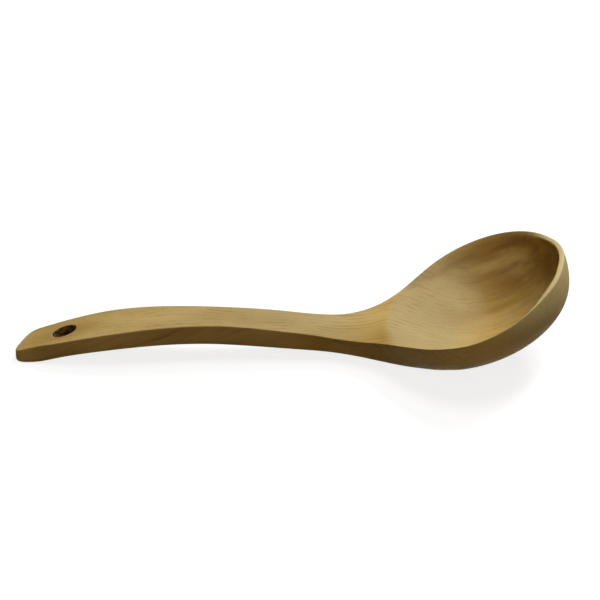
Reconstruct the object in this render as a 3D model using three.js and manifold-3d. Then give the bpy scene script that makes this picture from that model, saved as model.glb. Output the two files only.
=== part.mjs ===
// Wooden ladle, carved from one board, lying at rest on its bowl and the end of its handle.
// Millimetres, +Z up, the bowl towards +X. The origin is on the table under the middle of the ladle.

import * as THREE from 'three';
import { LoftGeometry } from 'three/addons/geometries/LoftGeometry.js';
import { mergeVertices } from 'three/addons/utils/BufferGeometryUtils.js';
import Module from 'manifold-3d';

const wasm = await Module();
wasm.setup();

const DEGREE = Math.PI / 180;

// Overall, measured along the rim from the bowl's tip to the middle of the handle's end
const LENGTH = 286.5;

// Bowl: a round rim that lies in one plane, and a dish deepest a little behind its middle
const RIM_RADIUS = 45;
const RIM_WIDTH = 2.5;
const BOWL_DEPTH = 32.5;
const FLOOR_THICKNESS = 5;
const BELLY_RADIUS = 40;
const TIP_FULLNESS = 2.8;
const HOLLOW_FULLNESS = 2.1;

// Plan view: flared shoulders, then a handle that narrows at the waist and swells in the hand
const SHOULDER_RADIUS = 89;
const NECK_WIDTH = 18;
const WAIST_WIDTH = 17.2;
const SWELL_WIDTH = 23.4;
const END_WIDTH = 20.4;
const WAIST_FROM_END = 117.5;
const SWELL_FROM_END = 51.5;
const END_ROUNDING = 9.5;
const END_SQUARENESS = 3.5;

// The handle's end is sawn askew, further out on its -Y side. Its wall leans out towards the foot,
// and the foot is rounded up. All of this dies away along the handle.
const END_SLANT = 13 * DEGREE;
const SLANT_RUN = 60;
const END_LEAN = 32 * DEGREE;
const FOOT_RISE = 4.2;
const FOOT_RUN = 15;

// Side view, top line: a slight dip behind the rim, a hollow bend, a straight rise and a long arch
const DIP_BEHIND_RIM = 2.5;
const DIP_DEPTH = 1;
const DIP_RUN = 15;
const NECK_RADIUS = 63;
const RISE_ANGLE = 29.7 * DEGREE;
const RISE_RUN = 27;
const ARCH_RADIUS = 304;

// Side view, underside: an arch that leaves the end of the handle, then a straight run to the belly
const END_THICKNESS = 9.9;
const END_TAPER = 1.6 * DEGREE;
const UNDER_RADIUS = 290;
const RISE_EASE = 3.4 * DEGREE;

// Cross-sections run from nearly square, with eased lower edges, to a half ellipse under the bowl
const HANDLE_SQUARENESS = 8;
const BOWL_SQUARENESS = 2;
const SQUARE_BEHIND_RIM = 21;
const ROUND_INSIDE_RIM = 25;

// Hanging hole: an oval, cut square to the top of the handle
const HOLE_LENGTH = 14.6;
const HOLE_WIDTH = 9.6;
const HOLE_FROM_END = 28;

// The two spots that the ladle lies on are rubbed flat by this much
const REST_FLAT = 0.4;

// Colours of the wood, paler in the bowl, and its satin finish
const BOWL_COLOUR = 0xb39a66;
const HANDLE_COLOUR = 0xad935d;
const WOOD_ROUGHNESS = 0.5;

// Facets: sections along each stretch of the ladle, and steps across and around
const END_SECTIONS = 7;
const HANDLE_SECTIONS = 20;
const SHOULDER_SECTIONS = 14;
const RIM_SECTIONS = 24;
const SECTION_STEPS = 22;
const HOLLOW_STEPS = 14;
const HOLLOW_SIDES = 60;
const HOLE_SIDES = 32;

// The first section lies just inside the handle's end, and the last just short of the bowl's tip
const END_INSET = 0.15;
const TIP_ANGLE = 87.5 * DEGREE;

// The ladle can't lie steeper than this, and halving that range so often finds how steep it lies
const STEEPEST_TILT = 60 * DEGREE;
const TILT_HALVINGS = 40;

// The plane between bowl and handle lies at a whole number of these steps, which stay exact in 32 bits
const DIVISION_STEP = 1 / 8;

// A tool that reaches past the whole ladle
const REACH = 2 * LENGTH;

// The carving frame: origin in the middle of the rim, X to the tip, Z square to the rim.
const handleEnd = RIM_RADIUS - LENGTH;

function smoothStep(from, to, x) {
  const share = THREE.MathUtils.clamp((x - from) / (to - from), 0, 1);
  return share * share * (3 - 2 * share);
}

// One quarter of a rounded square: 1 at share 0, falling to 0 at share 1.
function roundOff(share, squareness) {
  return Math.max(1 - share ** squareness, 0) ** (1 / squareness);
}

// Top line

const bendStart = -(RIM_RADIUS + DIP_BEHIND_RIM);
const bendEnd = bendStart - NECK_RADIUS * Math.sin(RISE_ANGLE);
const archStart = bendEnd - RISE_RUN * Math.cos(RISE_ANGLE);
const bendRise = NECK_RADIUS * (1 - Math.cos(RISE_ANGLE)) - DIP_DEPTH;
const archCentreX = archStart - ARCH_RADIUS * Math.sin(RISE_ANGLE);
const archCentreZ = bendRise + RISE_RUN * Math.sin(RISE_ANGLE) - ARCH_RADIUS * Math.cos(RISE_ANGLE);

function topHeight(x) {
  if (x >= bendStart) return DIP_DEPTH * (smoothStep(bendStart, bendStart + DIP_RUN, x) - 1);
  if (x >= bendEnd) return NECK_RADIUS - DIP_DEPTH - Math.sqrt(NECK_RADIUS ** 2 - (x - bendStart) ** 2);
  if (x >= archStart) return bendRise + (bendEnd - x) * Math.tan(RISE_ANGLE);
  return archCentreZ + Math.sqrt(ARCH_RADIUS ** 2 - (x - archCentreX) ** 2);
}

// The angle at which the arch still climbs towards the handle's end.
function archAngle(x) {
  return Math.asin((x - archCentreX) / ARCH_RADIUS);
}

// Underside

const underEndAngle = archAngle(handleEnd) + END_TAPER;
const underRise = RISE_ANGLE - RISE_EASE;
const underCentreX = handleEnd - UNDER_RADIUS * Math.sin(underEndAngle);
const underCentreZ = topHeight(handleEnd) - END_THICKNESS - UNDER_RADIUS * Math.cos(underEndAngle);
const runStart = underCentreX + UNDER_RADIUS * Math.sin(underRise);
const runStartHeight = underCentreZ + UNDER_RADIUS * Math.cos(underRise);
const runFoot = runStart + (runStartHeight + BOWL_DEPTH) / Math.tan(underRise);
const lowest = runFoot + BELLY_RADIUS * Math.tan(underRise / 2);
const bellyStart = lowest - BELLY_RADIUS * Math.sin(underRise);

function underHeight(x) {
  if (x <= runStart) return underCentreZ + Math.sqrt(UNDER_RADIUS ** 2 - (x - underCentreX) ** 2);
  if (x <= bellyStart) return runStartHeight - (x - runStart) * Math.tan(underRise);
  if (x <= lowest) return BELLY_RADIUS - BOWL_DEPTH - Math.sqrt(BELLY_RADIUS ** 2 - (x - lowest) ** 2);
  return -BOWL_DEPTH * roundOff((x - lowest) / (RIM_RADIUS - lowest), TIP_FULLNESS);
}

// Plan outline

const shoulderCentreY = NECK_WIDTH / 2 + SHOULDER_RADIUS;
const shoulderReach = RIM_RADIUS + SHOULDER_RADIUS;
const neck = -Math.sqrt(shoulderReach ** 2 - shoulderCentreY ** 2);
const shoulderStart = neck * RIM_RADIUS / shoulderReach;
const waist = handleEnd + WAIST_FROM_END;
const swell = handleEnd + SWELL_FROM_END;
const roundingStart = handleEnd + END_ROUNDING;

function handleWidth(x) {
  if (x >= waist) return THREE.MathUtils.lerp(NECK_WIDTH, WAIST_WIDTH, smoothStep(neck, waist, x));
  if (x >= swell) return THREE.MathUtils.lerp(WAIST_WIDTH, SWELL_WIDTH, smoothStep(waist, swell, x));
  return THREE.MathUtils.lerp(SWELL_WIDTH, END_WIDTH, smoothStep(swell, roundingStart, x));
}

function halfWidth(x) {
  if (x >= shoulderStart) return Math.sqrt(RIM_RADIUS ** 2 - x ** 2);
  if (x >= neck) return shoulderCentreY - Math.sqrt(SHOULDER_RADIUS ** 2 - (x - neck) ** 2);
  const intoRounding = Math.max(roundingStart - x, 0) / END_ROUNDING;
  return handleWidth(x) / 2 * roundOff(intoRounding, END_SQUARENESS);
}

// Blank: cross-sections lofted from the handle's end to the bowl's tip

function squareness(x) {
  const share = smoothStep(-RIM_RADIUS - SQUARE_BEHIND_RIM, ROUND_INSIDE_RIM - RIM_RADIUS, x);
  return HANDLE_SQUARENESS ** (1 - share) * BOWL_SQUARENESS ** share;
}

// How much of the end's form a section takes: all at the handle's end, and none past the run.
function endShare(x, run) {
  return 1 - smoothStep(handleEnd, handleEnd + run, x);
}

function crossSection(x) {
  const slant = Math.tan(END_SLANT) * endShare(x, SLANT_RUN);
  const lean = Math.tan(END_LEAN) * endShare(x, FOOT_RUN);
  const rise = FOOT_RISE * endShare(x, FOOT_RUN);
  const points = [];
  for (let i = 0; i <= SECTION_STEPS; i++) {
    const angle = Math.PI * (i / SECTION_STEPS - 0.5);
    const across = Math.abs(Math.sin(angle)) ** (2 / squareness(x));
    const y = Math.sign(angle) * across * halfWidth(x);
    const along = x + slant * y;
    const top = topHeight(along);
    const depth = (top - underHeight(along) - rise) * roundOff(across, squareness(x));
    points.push(new THREE.Vector3(along - lean * depth, y, top - depth));
  }
  return points;
}

// Stations from one place to the next, spaced by an easing that goes from 0 to 1.
function stations(from, to, count, easing) {
  return Array.from({ length: count }, (_, i) => THREE.MathUtils.lerp(from, to, easing(i / count)));
}

const even = (share) => share;
const crowdedAtStart = (share) => 1 - Math.cos(share * Math.PI / 2);

function blankGeometry() {
  const shoulderAngle = Math.asin(shoulderStart / RIM_RADIUS);
  const along = [
    ...stations(handleEnd + END_INSET, roundingStart, END_SECTIONS, crowdedAtStart),
    ...stations(roundingStart, neck, HANDLE_SECTIONS, even),
    ...stations(neck, shoulderStart, SHOULDER_SECTIONS, even),
    ...stations(shoulderAngle, TIP_ANGLE, RIM_SECTIONS, even).map((angle) => RIM_RADIUS * Math.sin(angle)),
    RIM_RADIUS * Math.sin(TIP_ANGLE),
  ];
  return new LoftGeometry(along.map(crossSection), { capStart: true, capEnd: true });
}

// Tools that cut the blank

function hollowGeometry() {
  const radius = RIM_RADIUS - RIM_WIDTH;
  const depth = BOWL_DEPTH - FLOOR_THICKNESS;
  const profile = [];
  for (let i = 0; i <= HOLLOW_STEPS; i++) {
    const angle = Math.PI / 2 * i / HOLLOW_STEPS;
    const across = Math.sin(angle) ** (2 / HOLLOW_FULLNESS);
    profile.push(new THREE.Vector2(radius * across, -depth * roundOff(across, HOLLOW_FULLNESS)));
  }
  profile.push(new THREE.Vector2(radius, REACH));
  profile.push(new THREE.Vector2(0, REACH));
  return new THREE.LatheGeometry(profile, HOLLOW_SIDES).rotateX(Math.PI / 2);
}

function holeGeometry() {
  const x = handleEnd + HOLE_FROM_END;
  const cutter = new THREE.CylinderGeometry(HOLE_WIDTH / 2, HOLE_WIDTH / 2, REACH, HOLE_SIDES);
  cutter.rotateX(Math.PI / 2);
  cutter.scale(HOLE_LENGTH / HOLE_WIDTH, 1, 1);
  cutter.rotateY(archAngle(x));
  return cutter.translate(x, 0, topHeight(x));
}

// A block that fills the space on one side of a plane square to an axis.
function halfSpace(axis, plane, side) {
  const block = new THREE.BoxGeometry(REACH, REACH, REACH);
  return block.translate(...axis.clone().multiplyScalar(plane + side * REACH / 2).toArray());
}

// Lying at rest

// The tilt that brings the lowest point of the handle level with the lowest point of the bowl.
function restTilt(geometry) {
  const position = geometry.getAttribute('position');
  const heightGap = (tilt) => {
    const lowestPoint = { handle: Infinity, bowl: Infinity };
    for (let i = 0; i < position.count; i++) {
      const height = position.getX(i) * Math.sin(tilt) + position.getZ(i) * Math.cos(tilt);
      const part = position.getX(i) < neck ? 'handle' : 'bowl';
      lowestPoint[part] = Math.min(lowestPoint[part], height);
    }
    return lowestPoint.handle - lowestPoint.bowl;
  };
  let low = 0;
  let high = STEEPEST_TILT;
  for (let i = 0; i < TILT_HALVINGS; i++) {
    const middle = (low + high) / 2;
    if (heightGap(middle) > 0) low = middle;
    else high = middle;
  }
  return (low + high) / 2;
}

// Turns the carving frame into the frame of the ladle at rest, with the table at height 0.
function restMatrix(geometry) {
  const turn = new THREE.Matrix4().makeRotationY(-restTilt(geometry));
  const turned = geometry.getAttribute('position').clone().applyMatrix4(turn);
  const box = new THREE.Box3().setFromBufferAttribute(turned);
  const middle = box.getCenter(new THREE.Vector3());
  return new THREE.Matrix4().makeTranslation(-middle.x, 0, -box.min.z - REST_FLAT).multiply(turn);
}

// Solids

function solidFrom(geometry) {
  const bare = new THREE.BufferGeometry().copy(geometry);
  bare.deleteAttribute('normal');
  bare.deleteAttribute('uv');
  const merged = mergeVertices(bare);
  const corners = merged.getIndex().array;
  const triangles = [];
  for (let i = 0; i < corners.length; i += 3) {
    const [a, b, c] = corners.subarray(i, i + 3);
    // Triangles that shrink to a line at the pole of a revolved shape are left out.
    if (a !== b && b !== c && c !== a) triangles.push(a, b, c);
  }
  return new wasm.Manifold(new wasm.Mesh({
    numProp: 3,
    vertProperties: new Float32Array(merged.getAttribute('position').array),
    triVerts: new Uint32Array(triangles),
  }));
}

function geometryFrom(solid) {
  const { vertProperties, triVerts } = solid.getMesh();
  const geometry = new THREE.BufferGeometry();
  geometry.setAttribute('position', new THREE.BufferAttribute(vertProperties, 3));
  geometry.setIndex(new THREE.BufferAttribute(triVerts, 1));
  geometry.computeVertexNormals();
  return geometry;
}

const X_AXIS = new THREE.Vector3(1, 0, 0);
const Z_AXIS = new THREE.Vector3(0, 0, 1);

const blank = blankGeometry();
const toRest = restMatrix(blank);
const table = solidFrom(halfSpace(Z_AXIS, 0, -1));
const carved = solidFrom(blank.applyMatrix4(toRest))
  .subtract(solidFrom(hollowGeometry().applyMatrix4(toRest)))
  .subtract(solidFrom(holeGeometry().applyMatrix4(toRest)))
  .subtract(table);

// The carved form is divided across the neck.
const neckPoint = new THREE.Vector3(neck, 0, topHeight(neck)).applyMatrix4(toRest);
const division = Math.round(neckPoint.x / DIVISION_STEP) * DIVISION_STEP;

function woodPiece(name, side, colour) {
  const solid = carved.intersect(solidFrom(halfSpace(X_AXIS, division, side)));
  const material = new THREE.MeshStandardMaterial({ color: colour, roughness: WOOD_ROUGHNESS, metalness: 0 });
  const mesh = new THREE.Mesh(geometryFrom(solid), material);
  mesh.name = name;
  return mesh;
}

const ladle = new THREE.Group();
ladle.name = 'wooden_ladle';
ladle.add(woodPiece('bowl', 1, BOWL_COLOUR));
ladle.add(woodPiece('handle', -1, HANDLE_COLOUR));

export default ladle;
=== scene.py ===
# Wooden ladle carved from one board of pale beech, lying on its bowl and the end of its handle.

import math

import bmesh
import bpy
from mathutils import Matrix, Quaternion, Vector


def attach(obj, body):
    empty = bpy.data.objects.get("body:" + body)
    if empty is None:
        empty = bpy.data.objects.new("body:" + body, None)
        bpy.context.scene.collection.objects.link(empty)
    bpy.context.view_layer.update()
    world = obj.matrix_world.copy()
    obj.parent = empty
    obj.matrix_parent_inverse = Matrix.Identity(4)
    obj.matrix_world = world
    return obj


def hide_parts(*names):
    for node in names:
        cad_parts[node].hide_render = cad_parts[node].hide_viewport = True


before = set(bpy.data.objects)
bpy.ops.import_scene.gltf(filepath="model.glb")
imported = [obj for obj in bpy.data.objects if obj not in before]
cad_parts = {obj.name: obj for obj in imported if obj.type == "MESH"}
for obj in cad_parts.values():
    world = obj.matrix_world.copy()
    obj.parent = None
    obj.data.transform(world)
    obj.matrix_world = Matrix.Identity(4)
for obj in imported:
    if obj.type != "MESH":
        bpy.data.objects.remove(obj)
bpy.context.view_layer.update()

MM = 0.001
DEGREE = math.pi / 180

# The carved form, in millimetres, in the carving frame: the origin is in the middle of the rim,
# X points to the bowl's tip and Z is square to the rim.

# Overall, along the rim from the bowl's tip to the middle of the handle's end
LENGTH = 286.5

# Bowl: a round rim in one plane, and a dish deepest a little behind its middle
RIM_RADIUS = 45
RIM_WIDTH = 2.5
BOWL_DEPTH = 32.5
FLOOR_THICKNESS = 5
BELLY_RADIUS = 40
TIP_FULLNESS = 2.8
HOLLOW_FULLNESS = 2.1

# Plan view: flared shoulders, then a handle that narrows at the waist and swells in the hand
SHOULDER_RADIUS = 89
NECK_WIDTH = 18
WAIST_WIDTH = 17.2
SWELL_WIDTH = 23.4
END_WIDTH = 20.4
WAIST_FROM_END = 117.5
SWELL_FROM_END = 51.5
END_ROUNDING = 9.5
END_SQUARENESS = 3.5

# The handle's end is sawn askew, further out on its near side. Its wall leans out towards the foot,
# and the foot is rounded up. All of this dies away along the handle.
END_SLANT = 13 * DEGREE
SLANT_RUN = 60
END_LEAN = 32 * DEGREE
FOOT_RISE = 4.2
FOOT_RUN = 15

# Side view, top line: a slight dip behind the rim, a hollow bend, a straight rise and a long arch
DIP_BEHIND_RIM = 2.5
DIP_DEPTH = 1
DIP_RUN = 15
NECK_RADIUS = 63
RISE_ANGLE = 29.7 * DEGREE
RISE_RUN = 27
ARCH_RADIUS = 304

# Side view, underside: an arch that leaves the end of the handle, then a straight run to the belly
END_THICKNESS = 9.9
END_TAPER = 1.6 * DEGREE
UNDER_RADIUS = 290
RISE_EASE = 3.4 * DEGREE

# Cross-sections run from nearly square, with eased lower edges, to a half ellipse under the bowl
HANDLE_SQUARENESS = 8
BOWL_SQUARENESS = 2
SQUARE_BEHIND_RIM = 21
ROUND_INSIDE_RIM = 25

# Hanging hole: an oval, cut square to the top of the handle
HOLE_LENGTH = 14.6
HOLE_WIDTH = 9.6
HOLE_FROM_END = 28

# How the ladle lies: the tilt of its rim, and where the middle of the rim comes to be
REST_TILT = 21.28 * DEGREE
RIM_MIDDLE = Vector((101.91, 0, 37.715))

# Sanded edges: how far each one is rounded. The rim is flat and crisp at the tip. Along the sides it
# dips towards the hollow and its inner edge is rounded, between these angles round the rim.
OUTER_EASE = 0.5
HOLE_EASE = 0.5
TIP_EASE = 0.4
SIDE_EASE = 1.8
SIDE_DIP = 4
TIP_ENDS = 25 * DEGREE
SIDE_FULL = 75 * DEGREE

# The back of the hollow has no edge: the neck flows down into it, from this far behind the middle
# of the rim and this gently, between these angles round the rim.
FLOW_RADIUS = 49
FLOW_SOFTNESS = 1.15
FLOW_STARTS = 100 * DEGREE
FLOW_FULL = 145 * DEGREE

# The bowl is shaped by hand and not quite even: between two angles round the rim, from its tip to the
# handle and positive on its near side, it is fuller or flatter by so much. This dies away downwards.
HAND_SHAPING = (
    (128 * DEGREE, 164 * DEGREE, 0.8),
    (84 * DEGREE, 142 * DEGREE, -1.3),
    (10 * DEGREE, 74 * DEGREE, -1.4),
    (-38 * DEGREE, 12 * DEGREE, 1.2),
)
SHAPING_DEPTH = 18

# The near top edge is worn back at the handle's end: where its corner goes, how far along the handle
# this reaches, and how far down
END_WEAR = Vector((-1, 3, 0))
WEAR_RUN = 30
WEAR_DEPTH = 8

# The net of the mesh: cells along the rim's front, the shoulder, the handle and its rounded end,
# across the ladle and across its top between the two edge strips
FRONT_CELLS = 72
SHOULDER_CELLS = 14
HANDLE_CELLS = 46
ROUNDING_CELLS = 4
CROSS_CELLS = 18
INNER_CELLS = CROSS_CELLS - 2

# Its rows down the outer wall, under the bowl and down the hollow
WALL_ANGLES = [angle * DEGREE for angle in range(85, 34, -5)]
FLOOR_SHARES = (0.84, 0.68)
HOLLOW_ANGLES = [angle * DEGREE for angle in range(80, 31, -6)]

# The hanging hole in the net: strips that pass it on each side, wood left between it and the net
# along the handle, rows down its bore, and steps in which its mouths settle on the surface
HOLE_SIDE_STRIPS = 2
HOLE_MARGIN = 1.7
HOLE_RINGS = 3
HOLE_SETTLING = 6

SMOOTHING_LEVELS = 1
EASE_SEGMENTS = 3


def smooth_step(start, end, x):
    """0 up to the start, 1 from the end on, and an even S between them."""
    share = min(max((x - start) / (end - start), 0), 1)
    return share * share * (3 - 2 * share)


def lerp(start, end, share):
    """The value that lies this share of the way from the start to the end."""
    return start + (end - start) * share


def round_off(share, squareness):
    """One quarter of a rounded square: 1 at share 0, falling to 0 at share 1."""
    return max(1 - share ** squareness, 0) ** (1 / squareness)


# Top line

handle_end = RIM_RADIUS - LENGTH
bend_start = -(RIM_RADIUS + DIP_BEHIND_RIM)
bend_end = bend_start - NECK_RADIUS * math.sin(RISE_ANGLE)
arch_start = bend_end - RISE_RUN * math.cos(RISE_ANGLE)
bend_rise = NECK_RADIUS * (1 - math.cos(RISE_ANGLE)) - DIP_DEPTH
arch_centre_x = arch_start - ARCH_RADIUS * math.sin(RISE_ANGLE)
arch_centre_z = bend_rise + RISE_RUN * math.sin(RISE_ANGLE) - ARCH_RADIUS * math.cos(RISE_ANGLE)


def top_height(x):
    if x >= bend_start:
        return DIP_DEPTH * (smooth_step(bend_start, bend_start + DIP_RUN, x) - 1)
    if x >= bend_end:
        return NECK_RADIUS - DIP_DEPTH - math.sqrt(NECK_RADIUS ** 2 - (x - bend_start) ** 2)
    if x >= arch_start:
        return bend_rise + (bend_end - x) * math.tan(RISE_ANGLE)
    return arch_centre_z + math.sqrt(ARCH_RADIUS ** 2 - (x - arch_centre_x) ** 2)


def arch_angle(x):
    """The angle at which the arch still climbs towards the handle's end."""
    return math.asin((x - arch_centre_x) / ARCH_RADIUS)


# Underside

under_end_angle = arch_angle(handle_end) + END_TAPER
under_rise = RISE_ANGLE - RISE_EASE
under_centre_x = handle_end - UNDER_RADIUS * math.sin(under_end_angle)
under_centre_z = top_height(handle_end) - END_THICKNESS - UNDER_RADIUS * math.cos(under_end_angle)
run_start = under_centre_x + UNDER_RADIUS * math.sin(under_rise)
run_start_height = under_centre_z + UNDER_RADIUS * math.cos(under_rise)
run_foot = run_start + (run_start_height + BOWL_DEPTH) / math.tan(under_rise)
lowest = run_foot + BELLY_RADIUS * math.tan(under_rise / 2)
belly_start = lowest - BELLY_RADIUS * math.sin(under_rise)


def under_height(x):
    if x <= run_start:
        return under_centre_z + math.sqrt(UNDER_RADIUS ** 2 - (x - under_centre_x) ** 2)
    if x <= belly_start:
        return run_start_height - (x - run_start) * math.tan(under_rise)
    if x <= lowest:
        return BELLY_RADIUS - BOWL_DEPTH - math.sqrt(BELLY_RADIUS ** 2 - (x - lowest) ** 2)
    return -BOWL_DEPTH * round_off((x - lowest) / (RIM_RADIUS - lowest), TIP_FULLNESS)


# Plan outline

shoulder_centre_y = NECK_WIDTH / 2 + SHOULDER_RADIUS
shoulder_reach = RIM_RADIUS + SHOULDER_RADIUS
neck = -math.sqrt(shoulder_reach ** 2 - shoulder_centre_y ** 2)
shoulder_start = neck * RIM_RADIUS / shoulder_reach
shoulder_angle = math.acos(-shoulder_start / RIM_RADIUS)
waist = handle_end + WAIST_FROM_END
swell = handle_end + SWELL_FROM_END
rounding_start = handle_end + END_ROUNDING


def handle_width(x):
    if x >= waist:
        return lerp(NECK_WIDTH, WAIST_WIDTH, smooth_step(neck, waist, x))
    if x >= swell:
        return lerp(WAIST_WIDTH, SWELL_WIDTH, smooth_step(waist, swell, x))
    return lerp(SWELL_WIDTH, END_WIDTH, smooth_step(swell, rounding_start, x))


def half_width(x):
    if x >= shoulder_start:
        return math.sqrt(max(RIM_RADIUS ** 2 - x ** 2, 0))
    if x >= neck:
        return shoulder_centre_y - math.sqrt(SHOULDER_RADIUS ** 2 - (x - neck) ** 2)
    into_rounding = max(rounding_start - x, 0) / END_ROUNDING
    return handle_width(x) / 2 * round_off(into_rounding, END_SQUARENESS)


def edge_share(place):
    """How far a place lies from the middle line towards the outline, from 0 to 1."""
    if place.x >= rounding_start:
        return min(abs(place.y) / half_width(place.x), 1)
    across = abs(place.y) / (END_WIDTH / 2)
    along = (rounding_start - place.x) / END_ROUNDING
    return min((across ** END_SQUARENESS + along ** END_SQUARENESS) ** (1 / END_SQUARENESS), 1)


def squareness(x):
    share = smooth_step(-RIM_RADIUS - SQUARE_BEHIND_RIM, ROUND_INSIDE_RIM - RIM_RADIUS, x)
    return HANDLE_SQUARENESS ** (1 - share) * BOWL_SQUARENESS ** share


# Places on the surfaces, above or below a point of the plan

def end_share(place, run):
    """How much of the end's form a place takes: all at the handle's end, and none past the run."""
    return 1 - smooth_step(handle_end, handle_end + run, place.x)


def slanted(place):
    """A place of the plan, pushed along by the slant of the handle's end."""
    slant = math.tan(END_SLANT) * end_share(place, SLANT_RUN)
    return Vector((place.x + slant * place.y, place.y))


def on_top(place):
    """The place above a point of the plan, on the top line's surface."""
    x, y = slanted(place)
    return Vector((x, y, top_height(x)))


def on_underside(place):
    """The place below a point of the plan, on the outer wall or the underside."""
    x, y = slanted(place)
    top = top_height(x)
    foot = end_share(place, FOOT_RUN)
    down = round_off(edge_share(place), squareness(place.x))
    depth = (top - under_height(x) - FOOT_RISE * foot) * down
    return Vector((x - math.tan(END_LEAN) * foot * depth, y, top - depth))


hollow_radius = RIM_RADIUS - RIM_WIDTH
hollow_depth = BOWL_DEPTH - FLOOR_THICKNESS


def side_share(place):
    """How worn the rim is: not at the tip, and fully along the sides."""
    return smooth_step(TIP_ENDS, SIDE_FULL, abs(math.atan2(place.y, place.x)))


def on_rim(place):
    """A place on the rim's inner edge."""
    return on_top(place) - Vector((0, 0, SIDE_DIP * side_share(place)))


def flow_share(place):
    """How much of its form a place takes from the flow of the neck into the hollow, from 0 to 1."""
    return smooth_step(FLOW_STARTS, FLOW_FULL, abs(math.atan2(place.y, place.x)))


def flow_height(place):
    """How high the neck lies as it flows down into the hollow."""
    sunk = max(1 - (place.length / FLOW_RADIUS) ** 2, 0) ** FLOW_SOFTNESS
    return top_height(place.x) - hollow_depth * sunk


def on_neck(place):
    """A place on top between the hollow and the handle."""
    top = on_rim(place) if place.length <= hollow_radius else on_top(place)
    top.z = lerp(top.z, flow_height(place), flow_share(place))
    return top


def in_hollow(place):
    """A place on the hollow's wall or floor."""
    wall = -hollow_depth * round_off(min(place.length / hollow_radius, 1), HOLLOW_FULLNESS)
    return Vector((place.x, place.y, lerp(wall, flow_height(place), flow_share(place))))


def round_the_rim(radius, angle):
    return Vector((radius * math.cos(angle), radius * math.sin(angle)))


# The net in plan. Stations run from the shoulders (0) to the handle's end, and columns from the
# far side of the ladle to the near side. Station lines are bowed, to follow the rim and the end.

front_angle = math.pi - shoulder_angle
corner_share = 0.5 ** (1 / END_SQUARENESS)
station_x = [lerp(shoulder_start, neck, i / SHOULDER_CELLS) for i in range(SHOULDER_CELLS)]
station_x += [lerp(neck, rounding_start, i / HANDLE_CELLS) for i in range(HANDLE_CELLS)]
station_x += [
    rounding_start - END_ROUNDING * math.sin(math.pi / 4 * i / ROUNDING_CELLS) ** (2 / END_SQUARENESS)
    for i in range(ROUNDING_CELLS + 1)
]
LAST = len(station_x) - 1
corner = Vector((station_x[LAST], END_WIDTH / 2 * corner_share))


def fan(cells):
    """Directions from the rim's middle to the places behind it, from the far side to the near."""
    return [math.pi - shoulder_angle * (1 - 2 * j / cells) for j in range(cells + 1)]


def spread(cells):
    """The same places as shares of the width, from 1 to -1."""
    return [math.sin(angle) / math.sin(shoulder_angle) for angle in fan(cells)]


def bow(station, reach):
    """How far a station line bows towards the handle: fully at the rim, and not at the neck."""
    share = min(station / SHOULDER_CELLS, 1)
    return reach * (1 - math.cos(shoulder_angle)) * (1 - share) ** 2


def end_place(y):
    """A place on the rounded end of the handle, seen from above."""
    across = abs(y) / (END_WIDTH / 2)
    return Vector((rounding_start - END_ROUNDING * round_off(across, END_SQUARENESS), y))


def top_line(station):
    """Places of the top surface at a station, apart from the two on the outline."""
    x = station_x[station]
    if station == 0:
        return [round_the_rim(hollow_radius, angle) for angle in fan(INNER_CELLS)]
    inset = lerp(RIM_WIDTH, 2 * OUTER_EASE, min(station / SHOULDER_CELLS, 1))
    if station == LAST:
        return [end_place((corner.y - inset) * share) for share in spread(INNER_CELLS)]
    into_end = max(station - LAST + ROUNDING_CELLS, 0) / ROUNDING_CELLS
    end_bow = (corner.x - handle_end) * into_end ** 2
    width = half_width(x) - inset
    return [
        Vector((x - (bow(station, hollow_radius) + end_bow) * (1 - share ** 2), width * share))
        for share in spread(INNER_CELLS)
    ]


def outline():
    """The whole edge seen from above, from the far shoulder round the tip: each place with the point
    of the middle line that the wall below it leads to, and how square the section is there."""
    places = []
    for k in range(FRONT_CELLS + 1):
        angle = front_angle * (1 - 2 * k / FRONT_CELLS)
        places.append((round_the_rim(RIM_RADIUS, angle), Vector((0, 0)), BOWL_SQUARENESS))

    def side(station, sign):
        x = station_x[station]
        share = smooth_step(0, SHOULDER_CELLS, station)
        target = lerp(0, max(x, rounding_start), share)
        square = BOWL_SQUARENESS * (HANDLE_SQUARENESS / BOWL_SQUARENESS) ** share
        return Vector((x, sign * half_width(x))), Vector((target, 0)), square

    places += [side(station, -1) for station in range(1, LAST)]
    for y in reversed([corner.y, *[place.y for place in top_line(LAST)], -corner.y]):
        places.append((end_place(y), Vector((rounding_start, 0)), HANDLE_SQUARENESS))
    places += [side(station, 1) for station in reversed(range(1, LAST))]
    return places


# Mesh helpers

def skin(bm, first, second, closed=False):
    """Quads between two rows of as many vertices."""
    count = len(first)
    for k in range(count if closed else count - 1):
        n = (k + 1) % count
        bm.faces.new((first[k], first[n], second[n], second[k]))


def patch(bm, ring, height):
    """Fills a closed ring of vertices with a square net. The height puts a place of the plan on its
    surface."""
    count = len(ring)
    long = count // 4
    short = count // 2 - long
    net = {}
    for k, vertex in enumerate(ring):
        if k <= long:
            net[k, 0] = vertex
        elif k <= long + short:
            net[long, k - long] = vertex
        elif k <= 2 * long + short:
            net[2 * long + short - k, short] = vertex
        else:
            net[0, count - k] = vertex
    plan = {key: vertex.co.xy for key, vertex in net.items()}
    for a in range(1, long):
        for b in range(1, short):
            s = a / long
            t = b / short
            sides = lerp(plan[a, 0], plan[a, short], t) + lerp(plan[0, b], plan[long, b], s)
            near = lerp(plan[0, 0], plan[long, 0], s)
            far = lerp(plan[0, short], plan[long, short], s)
            net[a, b] = bm.verts.new(height(sides - lerp(near, far, t)))
    for a in range(long):
        for b in range(short):
            bm.faces.new((net[a, b], net[a + 1, b], net[a + 1, b + 1], net[a, b + 1]))


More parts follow.
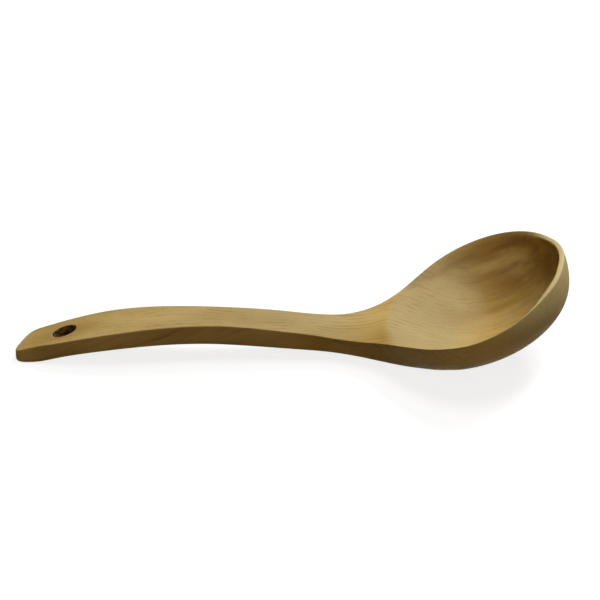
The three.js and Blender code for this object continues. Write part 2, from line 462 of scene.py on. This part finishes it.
def hole_place(angle, height):
    """Where the cutter, at an angle round its axis, comes through a surface of that height."""
    x = handle_end + HOLE_FROM_END
    tilt = arch_angle(x)
    axis = Vector((math.sin(tilt), 0, math.cos(tilt)))
    across = Vector((math.cos(tilt), 0, -math.sin(tilt)))
    place = Vector((x, 0, top_height(x))) + HOLE_LENGTH / 2 * math.cos(angle) * across
    place.y = HOLE_WIDTH / 2 * math.sin(angle)
    for _ in range(HOLE_SETTLING):
        place += axis * (height(place.x) - place.z) / axis.z
    return place


def carve():
    """The bare mesh of the ladle in the carving frame, with how far each edge is to be rounded."""
    bm = bmesh.new()
    eases = []

    def vertices(places, surface):
        return [bm.verts.new(surface(place)) for place in places]

    # Outline, then the outer wall down to the loop where the underside begins
    edge = outline()
    loop = vertices([place for place, target, square in edge], on_top)
    eases += [(a, b, OUTER_EASE) for a, b in zip(loop, loop[1:] + loop[:1])]
    above = loop
    for angle in WALL_ANGLES:
        places = [lerp(target, place, math.sin(angle) ** (2 / square)) for place, target, square in edge]
        below = vertices(places, on_underside)
        skin(bm, above, below, closed=True)
        above = below
    lower = above
    lower_plan = places

    def side_of(loop_of, station):
        """The far and near entries of a loop at a station."""
        return loop_of[-station], loop_of[FRONT_CELLS + station]

    def end_of(loop_of):
        """The vertices round the handle's end, from the far side to the near."""
        start = FRONT_CELLS + LAST
        return loop_of[start:start + CROSS_CELLS + 1][::-1]

    # Handle: a net across the top, from the rim to the end, and another across the underside
    top_rows = []
    for station in range(LAST):
        far, near = side_of(loop, station)
        surface = on_neck if station < SHOULDER_CELLS else on_top
        top_rows.append([far, *vertices(top_line(station), surface), near])
    top_rows.append(end_of(loop))
    under_rows = []
    for station in range(LAST):
        far, near = side_of(lower, station)
        start = side_of(lower_plan, station)[0]
        depth = bow(station, start.length)
        places = [
            Vector((start.x - depth * (1 - share ** 2), start.y * share))
            for share in spread(CROSS_CELLS)[1:-1]
        ]
        if station == 0:
            places = [round_the_rim(start.length, angle) for angle in fan(CROSS_CELLS)[1:-1]]
        under_rows.append([far, *vertices(places, on_underside), near])
    under_rows.append(end_of(lower))

    # The block of cells round the hanging hole is left open and joined to the hole instead
    hole_x = handle_end + HOLE_FROM_END
    reach = HOLE_LENGTH / 2 + HOLE_MARGIN
    first = max(i for i in range(LAST) if station_x[i] > hole_x + reach)
    final = min(i for i in range(LAST) if station_x[i] < hole_x - reach)
    left = HOLE_SIDE_STRIPS
    right = CROSS_CELLS - HOLE_SIDE_STRIPS
    for rows in (top_rows, under_rows):
        for i in range(LAST):
            if first <= i < final:
                skin(bm, rows[i][:left + 1], rows[i + 1][:left + 1])
                skin(bm, rows[i][right:], rows[i + 1][right:])
            else:
                skin(bm, rows[i], rows[i + 1])

    def block(rows):
        border = rows[first][left:right] + [rows[i][right] for i in range(first, final)]
        border += rows[final][right:left:-1] + [rows[i][left] for i in range(final, first, -1)]
        return border

    angles = [
        math.atan2(vertex.co.y / HOLE_WIDTH, (vertex.co.x - hole_x) / HOLE_LENGTH)
        for vertex in block(top_rows)
    ]
    mouths = []
    for rows, height in ((top_rows, top_height), (under_rows, under_height)):
        mouth = [bm.verts.new(hole_place(angle, height)) for angle in angles]
        skin(bm, block(rows), mouth, closed=True)
        eases += [(a, b, HOLE_EASE) for a, b in zip(mouth, mouth[1:] + mouth[:1])]
        mouths.append(mouth)
    drilled = []
    above = mouths[0]
    for ring in range(1, HOLE_RINGS + 1):
        below = mouths[1]
        if ring < HOLE_RINGS:
            below = [bm.verts.new(a.co.lerp(b.co, ring / HOLE_RINGS)) for a, b in zip(*mouths)]
        faces_before = len(bm.faces)
        skin(bm, above, below, closed=True)
        bm.faces.ensure_lookup_table()
        drilled += bm.faces[faces_before:]
        above = below
    for face in drilled:
        face.material_index = 1

    # Rim and hollow
    front = [place * hollow_radius / RIM_RADIUS for place, target, square in edge[:FRONT_CELLS + 1]]
    back = top_rows[0][1:-1]
    inner = [back[0], *vertices(front[1:-1], on_rim), back[-1]]
    skin(bm, loop[:FRONT_CELLS + 1], inner)
    ring = inner + back[-2:0:-1]
    for a, b in zip(ring, ring[1:] + ring[:1]):
        middle = (a.co + b.co).xy / 2
        ease = lerp(TIP_EASE, SIDE_EASE, side_share(middle)) * (1 - flow_share(middle))
        eases.append((a, b, ease))
    above = ring
    for angle in HOLLOW_ANGLES:
        scale = math.sin(angle) ** (2 / HOLLOW_FULLNESS)
        below = vertices([vertex.co.xy * scale for vertex in ring], in_hollow)
        skin(bm, above, below, closed=True)
        above = below
    patch(bm, above, in_hollow)

    # Underside of the bowl
    ring = lower[:FRONT_CELLS + 1] + under_rows[0][-2:0:-1]
    above = ring
    for share in FLOOR_SHARES:
        below = vertices([vertex.co.xy * share for vertex in ring], on_underside)
        skin(bm, above, below, closed=True)
        above = below
    patch(bm, above, on_underside)

    # Edges to be rounded, as shares of the widest rounding
    weight = bm.edges.layers.float.new("bevel_weight_edge")
    for a, b, ease in eases:
        bm.edges.get((a, b))[weight] = ease / SIDE_EASE
    bmesh.ops.recalc_face_normals(bm, faces=bm.faces)
    return bm


def bell(start, end, x):
    """A soft bump: 1 halfway between the start and the end, and 0 outside them."""
    share = min(max((x - start) / (end - start), 0), 1)
    return (1 - math.cos(2 * math.pi * share)) / 2


def by_hand(place):
    """A place of the even form, moved to where the carver left it."""
    angle = math.atan2(-place.y, place.x)
    shift = sum(out * bell(start, end, angle) for start, end, out in HAND_SHAPING)
    scale = 1 + shift / RIM_RADIUS * smooth_step(-SHAPING_DEPTH, 0, place.z)
    near = smooth_step(END_WIDTH / 2, -END_WIDTH / 2, place.y)
    high = smooth_step(WEAR_DEPTH, 0, top_height(place.x) - place.z)
    worn = end_share(place, WEAR_RUN) * near * high
    return Vector((place.x * scale, place.y * scale, place.z)) + END_WEAR * worn


def ladle():
    """The ladle as it lies, sanded smooth, in metres."""
    bm = carve()
    for vertex in bm.verts:
        vertex.co = by_hand(vertex.co)
    at_rest = Matrix.Translation(RIM_MIDDLE) @ Matrix.Rotation(-REST_TILT, 4, "Y")
    bm.transform(Matrix.Scale(MM, 4) @ at_rest)
    mesh = bpy.data.meshes.new("ladle")
    bm.to_mesh(mesh)
    bm.free()
    piece = bpy.data.objects.new("ladle", mesh)
    bpy.context.scene.collection.objects.link(piece)

    rounding = piece.modifiers.new("rounded edges", "BEVEL")
    rounding.limit_method = "WEIGHT"
    rounding.width = SIDE_EASE * MM
    rounding.segments = EASE_SEGMENTS
    rounding.use_clamp_overlap = False
    smoothing = piece.modifiers.new("sanding", "SUBSURF")
    smoothing.levels = SMOOTHING_LEVELS
    smoothing.render_levels = SMOOTHING_LEVELS

    sanded = piece.evaluated_get(bpy.context.evaluated_depsgraph_get())
    piece.data = bpy.data.meshes.new_from_object(sanded)
    piece.modifiers.clear()
    piece.data.name = "ladle"
    # The two spots that the ladle lies on are rubbed flat.
    for vertex in piece.data.vertices:
        vertex.co.z = max(vertex.co.z, 0)
    piece.data.shade_smooth()
    return piece


# Materials

def colour(code):
    """A colour written as sRGB hex, as the linear values that a shader takes."""
    channels = [int(code[i:i + 2], 16) / 255 for i in (1, 3, 5)]
    linear = [c / 12.92 if c <= 0.04045 else ((c + 0.055) / 1.055) ** 2.4 for c in channels]
    return (*linear, 1)


def add(tree, kind, inputs=None, **settings):
    """Adds a node with its settings. An input takes a value, or the output that is linked to it."""
    node = tree.nodes.new(kind)
    for name, value in settings.items():
        setattr(node, name, value)
    for name, value in (inputs or {}).items():
        if isinstance(value, bpy.types.NodeSocket):
            tree.links.new(value, node.inputs[name])
        else:
            node.inputs[name].default_value = value
    return node


# The board's growth rings: how far apart their dark lines lie, how far the rings wander, where in its
# ring the middle of the board lies, and the distance at which a wave of scale 1 repeats
RING_WIDTH = 2.51
RING_SWAY = 16
RING_PHASE = 193 * DEGREE
WAVE_REPEAT = math.pi / 10

# Where the looks change, in millimetres along the grain, across it towards the far side, and up from
# the rim: ring lines fade into the bowl, streaks with painted shade grow towards its far side and its
# tip but leave the rim's top, and a painted highlight pales the rim's top towards the tip
LINES_FADE = (40, 110)
STREAKS_AND_SHADE_ALONG = (40, 120)
STREAKS_AND_SHADE_ACROSS = (-40, 35)
RIM_TOP_HEIGHTS = (-2, -0.5)
RIM_HIGHLIGHT_HEIGHTS = (-1.5, -0.5)
RIM_HIGHLIGHT_ALONG = (118, 152)

# How strong each mark is at most: ring lines on the handle and in the bowl, streaks with painted shade at
# the handle and at the tip, fibres, flecks, end grain with painted light from the floor, and the painted
# highlight on the rim
LINES_ON_HANDLE = 0.6
LINES_IN_BOWL = 0.2
STREAKS_AND_SHADE_AT_HANDLE = 0.1
STREAKS_AND_SHADE_AT_TIP = 0.72
FIBRES = 0.25
FLECKS = 0.15
END_GRAIN_AND_FLOOR_LIGHT = 0.75
RIM_HIGHLIGHT = 0.65

# Patterns of the wood: length along the grain and width across it in millimetres, detail, and the
# shift that lays the pattern on this board. Fibres and flecks are drawn about three times as wide
# as real ones, to show at this distance.
PATTERNS = {
    "tone": (70, 22, 1, (-8.6, 8.9, 7.8)),
    "sway": (130, 40, 1, (-7.7, 4.4, 15.7)),
    "line": (90, 5, 1, (10.9, -1.1, 14)),
    "streak": (80, 6, 2, (0, 0, 0)),
    "fibre": (40, 1.1, 2, (0, 0, 0)),
    "fleck": (6, 0.8, 0, (0, 0, 0)),
}
FIBRE_RELIEF = 0.1

# Torn fibres in the bore: their size and how far they stand out
TORN_SIZE = 2
TORN_RELIEF = 0.3


def beech():
    """Pale beech, sanded and lightly oiled. To the eye: a warm straw colour that drifts from place to
    place, thin brown ring lines along the grain, brown streaks on the far side deepened by painted
    shade, short dark flecks, greyer end grain that also paints the cool light from the floor, a painted
    highlight on the rim at the tip, and a faint satin sheen that follows the fibres."""
    material = bpy.data.materials.new("sanded beech")
    material.use_nodes = True
    tree = material.node_tree
    shader = tree.nodes["Principled BSDF"]

    # Places in the board, in millimetres, with X along the grain
    source = add(tree, "ShaderNodeTexCoord")
    place = add(
        tree, "ShaderNodeMapping",
        {
            "Vector": source.outputs["Object"], "Rotation": (0, REST_TILT, 0),
            "Scale": (1 / MM, 1 / MM, 1 / MM),
        },
    ).outputs[0]
    part = add(tree, "ShaderNodeSeparateXYZ", {"Vector": place})
    rim_height = (Matrix.Rotation(REST_TILT, 3, "Y") @ RIM_MIDDLE).z
    noise = {}
    for name, (along, across, detail, shift) in PATTERNS.items():
        drawn = add(
            tree, "ShaderNodeMapping",
            {"Vector": place, "Scale": (1 / along, 1 / across, 1 / across), "Location": shift},
        )
        noise[name] = add(
            tree, "ShaderNodeTexNoise", {"Vector": drawn.outputs[0], "Scale": 1, "Detail": detail},
        ).outputs["Fac"]

    # Ring lines: each ring darkens towards its end, in some rings more than in others, and in the bowl
    # less than on the handle
    swayed = add(
        tree, "ShaderNodeVectorMath",
        {0: noise["sway"], 1: (0, RING_SWAY, 0), 2: place}, operation="MULTIPLY_ADD",
    )
    rings = add(
        tree, "ShaderNodeTexWave",
        {"Vector": swayed.outputs[0], "Scale": WAVE_REPEAT / RING_WIDTH, "Phase Offset": RING_PHASE},
        bands_direction="Y", wave_profile="SAW",
    )
    late = add(
        tree, "ShaderNodeMapRange", {"Value": rings.outputs["Fac"], "From Min": 0.55, "From Max": 1},
        interpolation_type="SMOOTHSTEP",
    )
    fading = add(
        tree, "ShaderNodeMapRange",
        {
            "Value": part.outputs["X"], "From Min": LINES_FADE[0], "From Max": LINES_FADE[1],
            "To Min": LINES_ON_HANDLE, "To Max": LINES_IN_BOWL,
        },
    )
    dark = add(
        tree, "ShaderNodeMapRange",
        {
            "Value": noise["line"], "From Min": 0.48, "From Max": 0.68,
            "To Min": 0.03, "To Max": fading.outputs[0],
        },
    )
    lines = add(
        tree, "ShaderNodeMath", {0: late.outputs[0], 1: dark.outputs[0]}, operation="MULTIPLY",
    ).outputs[0]

    # Streaks, with painted shade, grow stronger towards the far side and the tip, but leave the rim's top
    clear_rim_top = add(
        tree, "ShaderNodeMapRange",
        {
            "Value": part.outputs["Z"], "From Min": rim_height + RIM_TOP_HEIGHTS[0],
            "From Max": rim_height + RIM_TOP_HEIGHTS[1], "To Min": STREAKS_AND_SHADE_AT_TIP, "To Max": 0,
        },
    )
    growing = add(
        tree, "ShaderNodeMapRange",
        {
            "Value": part.outputs["X"], "From Min": STREAKS_AND_SHADE_ALONG[0], "From Max": STREAKS_AND_SHADE_ALONG[1],
            "To Min": STREAKS_AND_SHADE_AT_HANDLE, "To Max": clear_rim_top.outputs[0],
        },
    )
    side = add(
        tree, "ShaderNodeMapRange",
        {
            "Value": part.outputs["Y"], "From Min": STREAKS_AND_SHADE_ACROSS[0], "From Max": STREAKS_AND_SHADE_ACROSS[1],
            "To Min": 0.05, "To Max": growing.outputs[0],
        },
    )
    streaks = add(
        tree, "ShaderNodeMapRange", {"Value": noise["streak"], "From Min": 0.3, "From Max": 0.7},
        interpolation_type="SMOOTHSTEP",
    )
    streaks_and_shade = add(
        tree, "ShaderNodeMath", {0: streaks.outputs[0], 1: side.outputs[0]}, operation="MULTIPLY",
    ).outputs[0]

    # Drifting tone, fine fibres and flecks
    tone = add(tree, "ShaderNodeMapRange", {"Value": noise["tone"], "From Min": 0.32, "From Max": 0.68})
    fibre = add(
        tree, "ShaderNodeMapRange",
        {"Value": noise["fibre"], "From Min": 0.35, "From Max": 0.7, "To Max": FIBRES},
    )
    flecks = add(
        tree, "ShaderNodeMapRange",
        {"Value": noise["fleck"], "From Min": 0.66, "From Max": 0.76, "To Max": FLECKS},
    )

    # Greyer where the surface faces the tip: end grain, and painted cool light thrown up by the floor
    facing = add(tree, "ShaderNodeNewGeometry")
    outward = add(
        tree, "ShaderNodeVectorMath",
        {0: facing.outputs["Normal"], 1: (math.cos(REST_TILT), 0, math.sin(REST_TILT))},
        operation="DOT_PRODUCT",
    )
    end_grain_and_floor_light = add(
        tree, "ShaderNodeMapRange",
        {"Value": outward.outputs["Value"], "From Min": 0.05, "From Max": 0.55, "To Max": END_GRAIN_AND_FLOOR_LIGHT},
    )

    # A painted highlight on the rim's top, paler and greyer towards the tip
    tip = add(
        tree, "ShaderNodeMapRange",
        {
            "Value": part.outputs["X"], "From Min": RIM_HIGHLIGHT_ALONG[0], "From Max": RIM_HIGHLIGHT_ALONG[1],
            "To Max": RIM_HIGHLIGHT,
        },
    )
    rim_highlight = add(
        tree, "ShaderNodeMapRange",
        {
            "Value": part.outputs["Z"], "From Min": rim_height + RIM_HIGHLIGHT_HEIGHTS[0],
            "From Max": rim_height + RIM_HIGHLIGHT_HEIGHTS[1], "To Max": tip.outputs[0],
        },
    )

    # Each mark is laid over the ones before it
    layers = [
        (tone.outputs[0], "#a6863e"),
        (fibre.outputs[0], "#a0824a"),
        # Streaks, with painted shade on the bowl's far and tip walls
        (streaks_and_shade, "#8c622a"),
        # End grain, with painted light from the floor
        (end_grain_and_floor_light.outputs[0], "#a2946c"),
        # Painted highlight on the rim's top
        (rim_highlight.outputs[0], "#cfc294"),
        (lines, "#7d5e2f"),
        (flecks.outputs[0], "#6b4d24"),
    ]
    wood = colour("#d0b26e")
    for share, code in layers:
        wood = add(
            tree, "ShaderNodeMix", {0: share, 6: wood, 7: colour(code)}, data_type="RGBA",
        ).outputs[2]
    tree.links.new(wood, shader.inputs["Base Color"])

    # Fibres differ in sheen and stand out a little, and sanded wood mirrors little around it
    sheen = add(
        tree, "ShaderNodeMapRange",
        {"Value": noise["fibre"], "From Min": 0.3, "From Max": 0.7, "To Min": 0.42, "To Max": 0.68},
    )
    tree.links.new(sheen.outputs[0], shader.inputs["Roughness"])
    shader.inputs["Specular IOR Level"].default_value = 0.05
    raised = add(
        tree, "ShaderNodeBump",
        {"Height": noise["fibre"], "Strength": 0.1, "Distance": FIBRE_RELIEF * MM},
    )
    tree.links.new(raised.outputs[0], shader.inputs["Normal"])
    return material


def drilled_beech():
    """Beech in the bore of the hanging hole, drilled and left raw. To the eye: torn fibres of end grain,
    darkened further by painted shade in the bore."""
    material = bpy.data.materials.new("drilled beech")
    material.use_nodes = True
    tree = material.node_tree
    shader = tree.nodes["Principled BSDF"]
    source = add(tree, "ShaderNodeTexCoord")
    torn = add(
        tree, "ShaderNodeTexNoise",
        {"Vector": source.outputs["Object"], "Scale": 1 / (TORN_SIZE * MM), "Detail": 3},
    )
    spread_out = add(
        tree, "ShaderNodeMapRange", {"Value": torn.outputs["Fac"], "From Min": 0.42, "From Max": 0.62},
    )
    # Mottled between painted shade, nearly black, and the raw brown of the torn end grain
    wood = add(
        tree, "ShaderNodeMix",
        {0: spread_out.outputs[0], 6: colour("#1a1005"), 7: colour("#86653a")}, data_type="RGBA",
    )
    tree.links.new(wood.outputs[2], shader.inputs["Base Color"])
    shader.inputs["Roughness"].default_value = 0.75
    shader.inputs["Specular IOR Level"].default_value = 0.2
    raised = add(
        tree, "ShaderNodeBump",
        {"Height": torn.outputs["Fac"], "Strength": 0.5, "Distance": TORN_RELIEF * MM},
    )
    tree.links.new(raised.outputs[0], shader.inputs["Normal"])
    return material


# Stage, light and camera

# The eye, in millimetres
CAMERA_PLACE = Vector((135.34, -505.53, 395.92))
CAMERA_AIM = Vector((9.07, 17.21, 20))
CAMERA_ROLL = 8.759 * DEGREE
CAMERA_LENS = 75


def camera():
    """The eye, where the photograph was taken from."""
    data = bpy.data.cameras.new("camera")
    data.lens = CAMERA_LENS
    eye = bpy.data.objects.new("camera", data)
    eye.location = CAMERA_PLACE * MM
    eye.rotation_mode = "QUATERNION"
    level = (CAMERA_AIM - CAMERA_PLACE).to_track_quat("-Z", "Y")
    eye.rotation_quaternion = level @ Quaternion((0, 0, 1), -CAMERA_ROLL)
    bpy.context.scene.collection.objects.link(eye)
    bpy.context.scene.camera = eye


# The floor: its half width and the reach of the ladle's shadow in metres, its own glow within that
# reach, beyond which it rises to full white, its colour, and the colour of the light it throws back
FLOOR_REACH = 3
SHADOW_REACH = 0.4
FLOOR_GLOW = 0.82
FLOOR_WHITE = "#949494"
FLOOR_BOUNCE = "#6a5c4a"

# The room's own light
ROOM_TINT = "#ffe2bd"
ROOM_GLOW = 0.02

# Square lamps, all turned to LAMP_AIM: name, place and width in metres, watts and tint
LAMP_AIM = Vector((0, 0, 0.03))
LAMPS = (
    ("key", Vector((0.545, 0.545, 0.95)), 0.45, 10.8, "#fffdfa"),
    ("overhead", Vector((0.31, 0, 1.19)), 0.45, 6.4, "#fafaff"),
    ("low right", Vector((0.77, -0.77, 0.54)), 0.45, 1.7, "#fff0d6"),
    ("glint", Vector((0.11, -0.76, 0.95)), 0.15, 0.8, "#ffe0c0"),
)


def seen(tree):
    """1 for rays that show the backdrop itself: straight to the eye, mirrored or passed through."""
    paths = add(tree, "ShaderNodeLightPath")
    mirrored = add(
        tree, "ShaderNodeMath",
        {0: paths.outputs["Is Glossy Ray"], 1: paths.outputs["Is Transmission Ray"]}, operation="MAXIMUM",
    )
    either = add(
        tree, "ShaderNodeMath",
        {0: paths.outputs["Is Camera Ray"], 1: mirrored.outputs[0]}, operation="MAXIMUM",
    )
    return either.outputs[0]


def backdrop():
    """White where it is seen, and a weak warm glow where it lights the wood."""
    world = bpy.data.worlds.new("white studio")
    world.use_nodes = True
    tree = world.node_tree
    glow = add(tree, "ShaderNodeBackground", {"Color": colour(ROOM_TINT), "Strength": ROOM_GLOW})
    white = add(tree, "ShaderNodeBackground", {"Color": colour("#ffffff"), "Strength": 1})
    either = add(tree, "ShaderNodeMixShader", {0: seen(tree), 1: glow.outputs[0], 2: white.outputs[0]})
    tree.links.new(either.outputs[0], tree.nodes["World Output"].inputs["Surface"])
    bpy.context.scene.world = world


def white_card():
    """A white card that stays white in the light, greys a little in the shadow of the ladle, and
    throws little light back up."""
    material = bpy.data.materials.new("white card")
    material.use_nodes = True
    tree = material.node_tree
    tree.nodes.remove(tree.nodes["Principled BSDF"])
    bounce = add(tree, "ShaderNodeBsdfDiffuse", {"Color": colour(FLOOR_BOUNCE)})
    matt = add(tree, "ShaderNodeBsdfDiffuse", {"Color": colour(FLOOR_WHITE)})
    source = add(tree, "ShaderNodeTexCoord")
    away = add(tree, "ShaderNodeVectorMath", {0: source.outputs["Object"]}, operation="LENGTH")
    strength = add(
        tree, "ShaderNodeMapRange",
        {
            "Value": away.outputs["Value"], "From Min": SHADOW_REACH, "From Max": 2 * SHADOW_REACH,
            "To Min": FLOOR_GLOW, "To Max": 1,
        },
    )
    glow = add(
        tree, "ShaderNodeEmission", {"Color": colour("#ffffff"), "Strength": strength.outputs[0]},
    )
    card = add(tree, "ShaderNodeAddShader", {0: matt.outputs[0], 1: glow.outputs[0]})
    either = add(tree, "ShaderNodeMixShader", {0: seen(tree), 1: bounce.outputs[0], 2: card.outputs[0]})
    tree.links.new(either.outputs[0], tree.nodes["Material Output"].inputs["Surface"])
    return material


def floor():
    """A wide white card under the ladle."""
    bm = bmesh.new()
    bmesh.ops.create_grid(bm, x_segments=1, y_segments=1, size=FLOOR_REACH)
    mesh = bpy.data.meshes.new("floor")
    bm.to_mesh(mesh)
    bm.free()
    plane = bpy.data.objects.new("floor", mesh)
    plane.data.materials.append(white_card())
    bpy.context.scene.collection.objects.link(plane)


def lamp(name, place, width, watts, tint):
    """A square lamp that is turned to LAMP_AIM."""
    data = bpy.data.lights.new(name, "AREA")
    data.size = width
    data.energy = watts
    data.color = colour(tint)[:3]
    light = bpy.data.objects.new(name, data)
    light.location = place
    light.rotation_mode = "QUATERNION"
    light.rotation_quaternion = (LAMP_AIM - place).to_track_quat("-Z", "Y")
    bpy.context.scene.collection.objects.link(light)


bpy.context.scene.view_settings.view_transform = "Standard"
camera()
wood = ladle()
wood.data.materials.append(beech())
wood.data.materials.append(drilled_beech())
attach(wood, "root")
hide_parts("bowl", "handle")
floor()
for lamp_values in LAMPS:
    lamp(*lamp_values)
backdrop()
